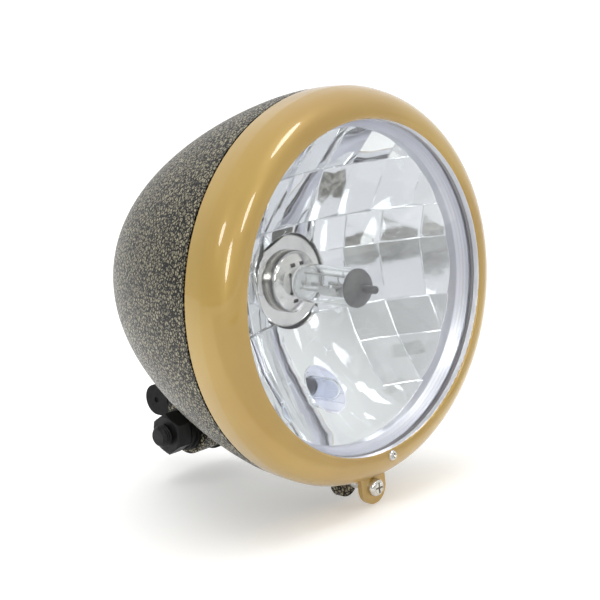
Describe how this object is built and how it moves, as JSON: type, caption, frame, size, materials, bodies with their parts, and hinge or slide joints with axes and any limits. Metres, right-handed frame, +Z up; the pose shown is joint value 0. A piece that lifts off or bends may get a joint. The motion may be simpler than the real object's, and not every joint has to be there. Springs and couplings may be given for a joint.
{
  "type": "motorcycle headlight",
  "caption": "Round motorcycle headlight with a bowl shell, a trim ring, a clear domed lens over a faceted reflector, and a foot bolted to a bottom mount plate.",
  "frame": {"origin": "centre of the bolt hole of the mount plate, on the plate's outer face", "axes": "+X along the hole, out of the plate's outer face; -Y the way the lamp shines; +Z up"},
  "size_m": [0.166, 0.1638, 0.1758],
  "materials": {
    "hammer_paint": "dark hammer-finish paint on a casting",
    "gold_paint": "gloss pale gold paint on rolled sheet",
    "bright_steel": "bright plated steel",
    "black_rubber": "matt moulded rubber",
    "lens_glass": "clear pressed glass",
    "mirror_coat": "vacuum-coated bright mirror",
    "spring_steel": "plain spring steel",
    "bulb_glass": "clear quartz glass with a dark coated tip",
    "bulb_metal": "bright nickel-plated steel",
    "frame_metal": "bright wire and sheet",
    "black_plastic": "moulded heat-proof plastic",
    "blade_brass": "plain brass blade",
    "pilot_glass": "clear glass",
    "grey_plastic": "moulded plastic",
    "black_paint": "satin black paint on steel plate",
    "black_oxide": "black oxide finish on steel"
  },
  "bodies": {
    "bracket": {"mount_bracket": "black_paint", "mount_bolt": "black_oxide", "mount_nut": "black_oxide", "spring_washer": "black_oxide", "nut_washer": "black_oxide", "head_washer": "black_oxide"},
    "lamp": {"shell": "hammer_paint", "trim_ring": "gold_paint", "trim_screw": "bright_steel", "rim_screw": "bright_steel", "cable_grommet": "black_rubber", "lens": "lens_glass", "lens_gasket": "black_rubber", "reflector": "mirror_coat", "retainer_clips": "spring_steel", "bulb_glass": "bulb_glass", "bulb_collar": "bulb_metal", "bulb_flange": "bulb_metal", "filament_frame": "frame_metal", "filaments": "frame_metal", "bulb_base": "black_plastic", "bulb_terminals": "blade_brass", "bulb_clip": "spring_steel", "dust_boot": "black_rubber", "pilot_bulb": "pilot_glass", "pilot_holder": "grey_plastic", "pilot_terminals": "blade_brass"}
  },
  "joints": [
    {"name": "aim_tilt", "type": "hinge", "parent": "bracket", "child": "lamp", "pos_m": [-0.0145, -0.022, -0.0057], "axis": [-1, 0, 0], "range_deg": [-20, 20]}
  ]
}
